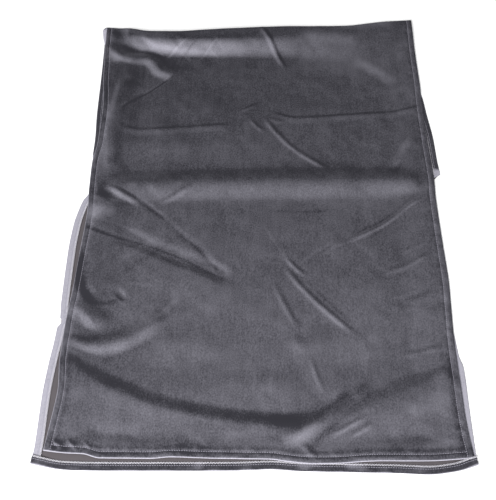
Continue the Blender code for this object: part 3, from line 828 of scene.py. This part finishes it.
def add_cloth(name, sheet, right_side, wrong_side, lie, paint_light=unpainted):
    """A piece of cloth round the sheet of its middle: the pile's lie, and its painted highlights and shade,
    are kept at each point of its outside.
    """
    normals = outward(sheet)
    outer = sheet + normals * CLOTH / 2
    inner = inside_of(outer, sheet - normals * CLOTH / 2, normals)
    along, across = np.gradient(outer, axis=0), np.gradient(outer, axis=1)
    along /= np.linalg.norm(along, axis=-1)[..., None]
    across /= np.linalg.norm(across, axis=-1)[..., None]
    lean = (-along - across * PILE_ASIDE) * lie(outer[..., 0], outer[..., 1])[..., None]
    fine = np.arange(outer[..., 0].size).reshape(outer.shape[:2])
    coarse = np.arange(inner[..., 0].size).reshape(inner.shape[:2]) + fine.size
    outside = grid_faces(fine)
    inside = grid_faces(coarse[:, ::-1])
    rims = []
    for edge in ((0, slice(None)), (-1, slice(None)), (slice(None), 0), (slice(None), -1)):
        rims += rim_faces(fine[edge].tolist(), coarse[edge].tolist())
    points = np.concatenate([outer.reshape(-1, 3), inner.reshape(-1, 3)]) + (SHIFT_X, SHIFT_Y, 0.0)
    mesh = bpy.data.meshes.new(name)
    mesh.from_pydata(points.tolist(), [], outside + inside + rims)
    mesh.materials.append(right_side)
    mesh.materials.append(wrong_side)
    kinds = [0] * len(outside) + [1] * (len(inside) + len(rims))
    mesh.polygons.foreach_set("material_index", kinds)
    pile = mesh.attributes.new("pile", "FLOAT_VECTOR", "POINT")
    leans = np.zeros((len(points), 3))
    leans[:fine.size] = lean.reshape(-1, 3)
    pile.data.foreach_set("vector", leans.ravel())
    stroked = np.zeros(len(points))
    stroked[:fine.size] = paint_light(outer[..., 0], outer[..., 1]).ravel()
    mesh.attributes.new("stroked", "FLOAT", "POINT").data.foreach_set("value", stroked)
    return place_piece(name, mesh), outer


def runs_of(line):
    """The distance run along a line at each of its points."""
    return np.concatenate([[0.0], np.cumsum(np.linalg.norm(np.diff(line, axis=0), axis=1))])


def read_line(at, runs, line):
    """A line's points, or what goes with them, at other distances run."""
    return np.stack([np.interp(at, runs, line[:, axis]) for axis in range(line.shape[1])], axis=1)


def thread_tube(points, facing, radii):
    """Points and faces of one short tube that follows a line and is closed at both ends."""
    ahead = np.gradient(points, axis=0)
    ahead /= np.linalg.norm(ahead, axis=1)[:, None]
    side = np.cross(ahead, facing)
    side /= np.linalg.norm(side, axis=1)[:, None]
    rise = np.cross(side, ahead)
    angles = 2 * np.pi * np.arange(STITCH_SIDES) / STITCH_SIDES
    rings = (points[:, None] + radii[:, None, None]
             * (side[:, None] * np.cos(angles)[:, None] + rise[:, None] * np.sin(angles)[:, None]))
    faces = []
    for ring in range(len(points) - 1):
        for k in range(STITCH_SIDES):
            low, after = ring * STITCH_SIDES, (k + 1) % STITCH_SIDES
            faces.append((low + k, low + after, low + STITCH_SIDES + after, low + STITCH_SIDES + k))
    faces.append(tuple(range(STITCH_SIDES))[::-1])
    last = (len(points) - 1) * STITCH_SIDES
    faces.append(tuple(range(last, last + STITCH_SIDES)))
    return rings.reshape(-1, 3), faces


def add_threads(name, tubes, material):
    """One piece from many short tubes of thread."""
    points, faces, count = [], [], 0
    for rings, ring_faces in tubes:
        points.append(rings)
        faces += [tuple(count + k for k in face) for face in ring_faces]
        count += len(rings)
    mesh = bpy.data.meshes.new(name)
    mesh.from_pydata((np.concatenate(points) + (SHIFT_X, SHIFT_Y, 0.0)).tolist(), [], faces)
    mesh.materials.append(material)
    return place_piece(name, mesh)


def stitch_row(line, facing):
    """Stitches along a line on the cloth, each half sunk in it at its two ends."""
    runs = runs_of(line)
    places = read_line(np.linspace(0.0, runs[-1], int(runs[-1] / STITCH_PITCH) + 1), runs, line)
    ups = read_line(np.linspace(0.0, 1.0, len(places)), np.linspace(0.0, 1.0, len(facing)), facing)
    tubes = []
    for start, end, up in zip(places, places[1:], ups):
        ahead = (end - start) / np.linalg.norm(end - start) * STITCH_LENGTH
        shares = np.array(STITCH_SHARES)[:, None]
        line_points = start + ahead * shares + up * (np.array(STITCH_RISE) * STITCH_RADIUS)[:, None]
        tubes.append(thread_tube(line_points, np.tile(up, (len(STITCH_SHARES), 1)),
                                 np.array(STITCH_SWELL) * STITCH_RADIUS))
    return tubes


def hem_lines(points, at, start, up):
    """Lines along both side hems and the end hem, with the way that the cloth faces there."""
    normals = outward(points)
    over = slice(start, points.shape[1] - start)
    for line in ((up, at), (up, -1 - at), (at, over)):
        yield points[line], normals[line]


def overlock_row(edge, within, facing):
    """Zigzag thread over a cut edge: out over the edge, and back in to the row of stitches."""
    runs = runs_of(edge)
    at = np.arange(0.0, runs[-1], OVERLOCK_PITCH)
    tips = read_line(at, runs, edge)
    roots = read_line(at + OVERLOCK_PITCH / 2, runs, within)
    ups = read_line(at, runs, facing)
    line = np.empty((2 * len(at), 3))
    line[0::2] = tips + (tips - roots) * OVERLOCK_OVER + ups * OVERLOCK_RADIUS * OVERLOCK_TIP
    line[1::2] = roots + ups * OVERLOCK_RADIUS * OVERLOCK_ROOT
    facings = np.repeat(ups, 2, axis=0)
    return [thread_tube(line, facings, np.full(len(line), OVERLOCK_RADIUS))]


def add_node(tree, kind, inputs=(), **settings):
    """A shader node with its settings, and its inputs set to a value or joined to another's output."""
    node = tree.nodes.new(kind)
    for key, value in settings.items():
        setattr(node, key, value)
    for key, value in dict(inputs).items():
        if isinstance(value, bpy.types.NodeSocket):
            tree.links.new(value, node.inputs[key])
        else:
            node.inputs[key].default_value = value
    return node


def maths(tree, operation, first, second=0.0, clamp=False):
    """One sum on two values."""
    return add_node(tree, "ShaderNodeMath", {0: first, 1: second},
                    operation=operation, use_clamp=clamp).outputs[0]


def noise(tree, place, scale, detail):
    """A chance pattern, with its own scale along each axis."""
    spread_out = add_node(tree, "ShaderNodeMapping", {"Vector": place, "Scale": scale})
    return add_node(tree, "ShaderNodeTexNoise",
                    {"Vector": spread_out.outputs[0], "Scale": 1.0, "Detail": detail}).outputs["Fac"]


def wave(tree, place, scale, direction):
    """Even bands across one direction."""
    return add_node(tree, "ShaderNodeTexWave", {"Vector": place, "Scale": scale},
                    wave_type="BANDS", bands_direction=direction).outputs["Fac"]


def new_material(name, roughness, shine):
    """A material with its node tree, its shader and its place on the cloth or the floor."""
    material = bpy.data.materials.new(name)
    material.use_nodes = True
    tree = material.node_tree
    shader = tree.nodes["Principled BSDF"]
    shader.inputs["Roughness"].default_value = roughness
    shader.inputs["Specular IOR Level"].default_value = shine
    return material, tree, shader, add_node(tree, "ShaderNodeTexCoord").outputs["Object"]


def colour_between(tree, shader, amount, dark, pale):
    """Give the shader a colour between a dark and a pale one."""
    mix = add_node(tree, "ShaderNodeMix",
                   {MIX_AMOUNT: amount, MIX_FIRST: (*dark, 1.0), MIX_SECOND: (*pale, 1.0)}, data_type="RGBA")
    tree.links.new(mix.outputs[MIX_RESULT], shader.inputs["Base Color"])


def relief(tree, shader, height, strength, depth):
    """Give the shader a fine relief, and return its normal."""
    bump = add_node(tree, "ShaderNodeBump", {"Height": height, "Strength": strength, "Distance": depth})
    tree.links.new(bump.outputs[0], shader.inputs["Normal"])
    return bump.outputs[0]


def shade_of(colour, share):
    """A darker shade of a colour."""
    return tuple(part * share for part in colour)


def velvet(name, dark, pale, contrast):
    """Velvet's right side, with painted sheen and painted shade in its colour: dark where the pile points
    along a fixed direction, and pale where it is turned away from that, so that its slopes come out paler or
    darker. The pile stands between the cloth's normal and the way that it leans."""
    material, tree, shader, place = new_material(name, roughness=0.92, shine=0.06)
    nap_grain = noise(tree, place, GRAIN_SCALE, detail=3.0)
    streaks = noise(tree, place, STREAK_SCALE, detail=3.0)
    rub = noise(tree, place, RUB_SCALE, detail=4.0)
    tufts = relief(tree, shader, nap_grain, TUFT_STRENGTH, TUFT_DEPTH)
    lean = add_node(tree, "ShaderNodeAttribute", attribute_name="pile").outputs["Vector"]
    fibre = add_node(tree, "ShaderNodeVectorMath", {0: tufts, 1: lean}, operation="ADD").outputs[0]
    fibre = add_node(tree, "ShaderNodeVectorMath", {0: fibre}, operation="NORMALIZE").outputs[0]
    # Painted sheen and shade: the colour grows paler as the pile turns away from the fixed direction
    end_on = add_node(tree, "ShaderNodeVectorMath", {0: fibre, 1: PAINTED_SHEEN_DARKEST},
                      operation="DOT_PRODUCT").outputs["Value"]
    sideways = maths(tree, "SUBTRACT", 1.0, maths(tree, "MULTIPLY", end_on, end_on), clamp=True)
    nap = maths(tree, "POWER", sideways, contrast)
    swing = maths(tree, "ADD", maths(tree, "MULTIPLY", nap, LIVELIER), 1.0)
    for pattern, amount in ((streaks, STREAKS), (rub, RUB), (nap_grain, GRAIN)):
        uneven = maths(tree, "MULTIPLY", maths(tree, "SUBTRACT", pattern, 0.5), amount)
        nap = maths(tree, "ADD", nap, maths(tree, "MULTIPLY", uneven, swing))
    # Painted highlights and painted shade that the cloth carries at its points
    stroked = add_node(tree, "ShaderNodeAttribute", attribute_name="stroked").outputs["Fac"]
    nap = maths(tree, "ADD", nap, maths(tree, "ADD", stroked, NAP_LEVEL), clamp=True)
    colour_between(tree, shader, nap, dark, pale)
    shader.inputs["Sheen Weight"].default_value = 0.02
    shader.inputs["Sheen Roughness"].default_value = 0.45
    shader.inputs["Sheen Tint"].default_value = (0.9, 0.9, 1.0, 1.0)
    return material


def plain_weave(name, colour):
    """The cloth's wrong side: a matt plain weave with a few slubs."""
    material, tree, shader, place = new_material(name, roughness=0.95, shine=0.1)
    weave = maths(tree, "MULTIPLY", wave(tree, place, WEAVE_SCALE, "X"), wave(tree, place, WEAVE_SCALE, "Y"))
    slubs = noise(tree, place, SLUB_SCALE, detail=3.0)
    shade = maths(tree, "ADD", maths(tree, "MULTIPLY", slubs, 1.0 - WEAVE_SHARE),
                  maths(tree, "MULTIPLY", weave, WEAVE_SHARE))
    colour_between(tree, shader, shade, shade_of(colour, WEAVE_DARK), colour)
    relief(tree, shader, shade, strength=0.5, depth=0.0002)
    return material


def thread(name, colour):
    """Spun thread, with its plies as a fine slanted relief."""
    material, tree, shader, place = new_material(name, roughness=0.8, shine=0.5)
    plies = wave(tree, place, PLY_SCALE, "DIAGONAL")
    colour_between(tree, shader, plies, shade_of(colour, PLY_DARK), colour)
    relief(tree, shader, plies, strength=0.5, depth=0.0001)
    return material


def painted_floor(name, colour):
    """A matt floor with the faintest unevenness."""
    material, tree, shader, place = new_material(name, roughness=1.0, shine=0.0)
    mottle = noise(tree, place, MOTTLE_SCALE, detail=2.0)
    colour_between(tree, shader, mottle, shade_of(colour, FLOOR_DARK), colour)
    return material


def colour_property(name, description, default):
    """One of the panel's colours."""
    return FloatVectorProperty(name=name, description=description, subtype="COLOR", size=3,
                               default=default, min=0.0, max=1.0)


class ScarfCloth(PropertyGroup):
    """Colours of the cloth."""

    # The velvet's colour is painted between these two: the first for its painted shade, the second for its
    # painted sheen
    pile_dark: colour_property("Pile, end on", "Colour where the pile is seen end on",
                               (0.0215, 0.0210, 0.0262))
    pile_pale: colour_property("Pile, side on", "Colour where the pile shows its side", (0.40, 0.39, 0.45))
    back: colour_property("Wrong side", "Colour of the cloth's woven back", (0.091, 0.082, 0.088))
    contrast: FloatProperty(name="Contrast", description="Above 1, only strongly turned pile looks pale",
                            default=1.0, min=0.3, max=3.0)


class ScarfSewing(PropertyGroup):
    """Thread of the seams."""

    thread_colour: colour_property("Thread", "Colour of the hem's stitches", (0.27, 0.26, 0.31))
    overlock_colour: colour_property("Overlock", "Colour of the thread over cut edges", (0.78, 0.76, 0.82))


class ScarfStage(PropertyGroup):
    """Floor, light and camera."""

    floor_colour: colour_property("Floor", "Colour of the floor", (0.93, 0.93, 0.93))
    sky: FloatProperty(name="Soft light", description="Strength of the even light from all round",
                       default=0.62, min=0.0)
    key: FloatProperty(name="Front light", description="Power of the large lamp at the near end",
                       default=95.0, min=0.0, unit="POWER")
    lens: FloatProperty(name="Lens", description="Focal length of the camera", default=64.49, min=1.0,
                        unit="CAMERA")


# Points of the cloths that have been made, which the seams are sewn along
MADE = {}


def made_points(name):
    """The outside of a cloth, as it was made."""
    if name not in MADE:
        raise RuntimeError(f"{name} is made first")
    return MADE[name]


def start_again(name):
    """Remove an earlier copy of a piece."""
    if name in bpy.data.objects:
        bpy.data.objects.remove(bpy.data.objects[name], do_unlink=True)


class SCARF_OT_add_lower_cloth(Operator):
    """Make the lower cloth, face down with its hems turned up"""

    bl_idname = "scarf.add_lower_cloth"
    bl_label = "Lower cloth"

    def execute(self, context):
        cloth = context.scene.scarf_cloth
        start_again("lower_cloth")
        pale = shade_of(cloth.pile_pale, LOWER_PALENESS)
        velvet_front = velvet("velvet_of_the_lower_cloth", cloth.pile_dark, pale, cloth.contrast)
        back = plain_weave("wrong_side_of_the_lower_cloth", cloth.back)
        piece, MADE["lower_cloth"] = add_cloth("lower_cloth", lower_sheet(), velvet_front, back, lower_lie)
        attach(piece, "root")
        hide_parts("lower_half", "lower_left_hem", "lower_right_hem", "lower_end_hem")
        return {"FINISHED"}


class SCARF_OT_add_upper_cloth(Operator):
    """Make the upper cloth, from its end hem over the roll of the fold"""

    bl_idname = "scarf.add_upper_cloth"
    bl_label = "Upper cloth"

    def execute(self, context):
        cloth = context.scene.scarf_cloth
        start_again("upper_cloth")
        velvet_front = velvet("velvet_of_the_upper_cloth", cloth.pile_dark, cloth.pile_pale, cloth.contrast)
        back = plain_weave("wrong_side_of_the_upper_cloth", cloth.back)
        piece, MADE["upper_cloth"] = add_cloth("upper_cloth", upper_sheet(), velvet_front, back, upper_lie,
                                               painted_nap_light)
        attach(piece, "root")
        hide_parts("upper_half", "upper_left_hem", "upper_right_hem", "upper_end_hem")
        return {"FINISHED"}


class SCARF_OT_add_seams(Operator):
    """Sew the hems: a row of stitches along each, and overlock thread on the cut edges that show"""

    bl_idname = "scarf.add_seams"
    bl_label = "Seams"

    def execute(self, context):
        sewing = context.scene.scarf_sewing
        upper, lower = made_points("upper_cloth"), made_points("lower_cloth")
        hem_thread = thread("hem_thread", sewing.thread_colour)
        edge_thread = thread("overlock_thread", sewing.overlock_colour)
        shown = len(UNDER_PLACES) + CURL_STEPS + 1 + HEM_PLACES.index(STITCH_INSET)
        hidden = UNDER_PLACES.index(LOWER_STITCH_INSET)
        topside = slice(len(UNDER_PLACES) + CURL_STEPS + 1, -TUCK_STEPS - STITCHES_STOP)
        whole = slice(hidden, None)
        rims, roots = hem_lines(lower, 0, hidden, whole), hem_lines(lower, 1, hidden, whole)
        rows = {
            "upper_stitches": (hem_thread, [stitch_row(line, facing) for line, facing
                                            in hem_lines(upper, shown, shown, topside)]),
            "lower_stitches": (hem_thread, [stitch_row(line, facing) for line, facing
                                            in hem_lines(lower, hidden, hidden, whole)]),
            "lower_overlock": (edge_thread, [overlock_row(rim, within, facing) for (rim, facing), (within, _)
                                             in zip(rims, roots)]),
        }
        for name, (material, tubes) in rows.items():
            start_again(name)
            piece = add_threads(name, [tube for row in tubes for tube in row], material)
            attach(piece, "root")
        return {"FINISHED"}


class SCARF_OT_add_stage(Operator):
    """Set the floor, the lights and the camera"""

    bl_idname = "scarf.add_stage"
    bl_label = "Floor, lights and camera"

    def execute(self, context):
        stage = context.scene.scarf_stage
        scene = context.scene
        for name in ("floor", "front_lamp", "camera"):
            start_again(name)
        bpy.ops.mesh.primitive_plane_add(size=FLOOR_SIZE, location=(0.0, 0.0, FLOOR_Z))
        floor = context.object
        floor.name = "floor"
        floor.data.materials.append(painted_floor("floor_paint", stage.floor_colour))

        world = bpy.data.worlds.new("soft_studio")
        world.use_nodes = True
        background = world.node_tree.nodes["Background"]
        background.inputs["Color"].default_value = (1.0, 1.0, 1.0, 1.0)
        background.inputs["Strength"].default_value = stage.sky
        scene.world = world

        lamp = bpy.data.lights.new("front_lamp", "AREA")
        lamp.energy = stage.key
        lamp.shape = "DISK"
        lamp.size = LAMP_SIZE
        lamp_object = bpy.data.objects.new("front_lamp", lamp)
        lamp_object.location = LAMP_PLACE
        toward = Vector(LAMP_AIM) - Vector(LAMP_PLACE)
        lamp_object.rotation_euler = toward.to_track_quat("-Z", "Y").to_euler()
        scene.collection.objects.link(lamp_object)

        camera = bpy.data.cameras.new("camera")
        camera.lens = stage.lens
        camera.sensor_width = CAMERA_SENSOR
        camera.clip_end = CAMERA_FAR
        camera_object = bpy.data.objects.new("camera", camera)
        camera_object.location = CAMERA_PLACE
        camera_object.rotation_euler = (np.pi / 2 - CAMERA_TILT, 0.0, CAMERA_TURN)
        scene.collection.objects.link(camera_object)
        scene.camera = camera_object
        scene.view_settings.view_transform = "Standard"
        return {"FINISHED"}


class SCARF_PT_panel(Panel):
    bl_label = "Folded velvet scarf"
    bl_space_type = "VIEW_3D"
    bl_region_type = "UI"
    bl_category = "Scarf"

    def draw(self, context):
        layout = self.layout
        for group in (context.scene.scarf_cloth, context.scene.scarf_sewing, context.scene.scarf_stage):
            box = layout.box()
            for key in group.bl_rna.properties.keys():
                if key not in ("rna_type", "name"):
                    box.prop(group, key)
        for operator in STEPS:
            layout.operator(operator.bl_idname)


STEPS = (SCARF_OT_add_lower_cloth, SCARF_OT_add_upper_cloth, SCARF_OT_add_seams, SCARF_OT_add_stage)
GROUPS = {"scarf_cloth": ScarfCloth, "scarf_sewing": ScarfSewing, "scarf_stage": ScarfStage}


def register():
    for kind in (*GROUPS.values(), *STEPS, SCARF_PT_panel):
        bpy.utils.register_class(kind)
    for name, kind in GROUPS.items():
        setattr(bpy.types.Scene, name, PointerProperty(type=kind))


def unregister():
    for name in GROUPS:
        delattr(bpy.types.Scene, name)
    for kind in (SCARF_PT_panel, *reversed(STEPS), *reversed(list(GROUPS.values()))):
        bpy.utils.unregister_class(kind)


def main():
    register()
    bpy.ops.scarf.add_stage()
    bpy.ops.scarf.add_lower_cloth()
    bpy.ops.scarf.add_upper_cloth()
    bpy.ops.scarf.add_seams()


if __name__ == "__main__":
    main()
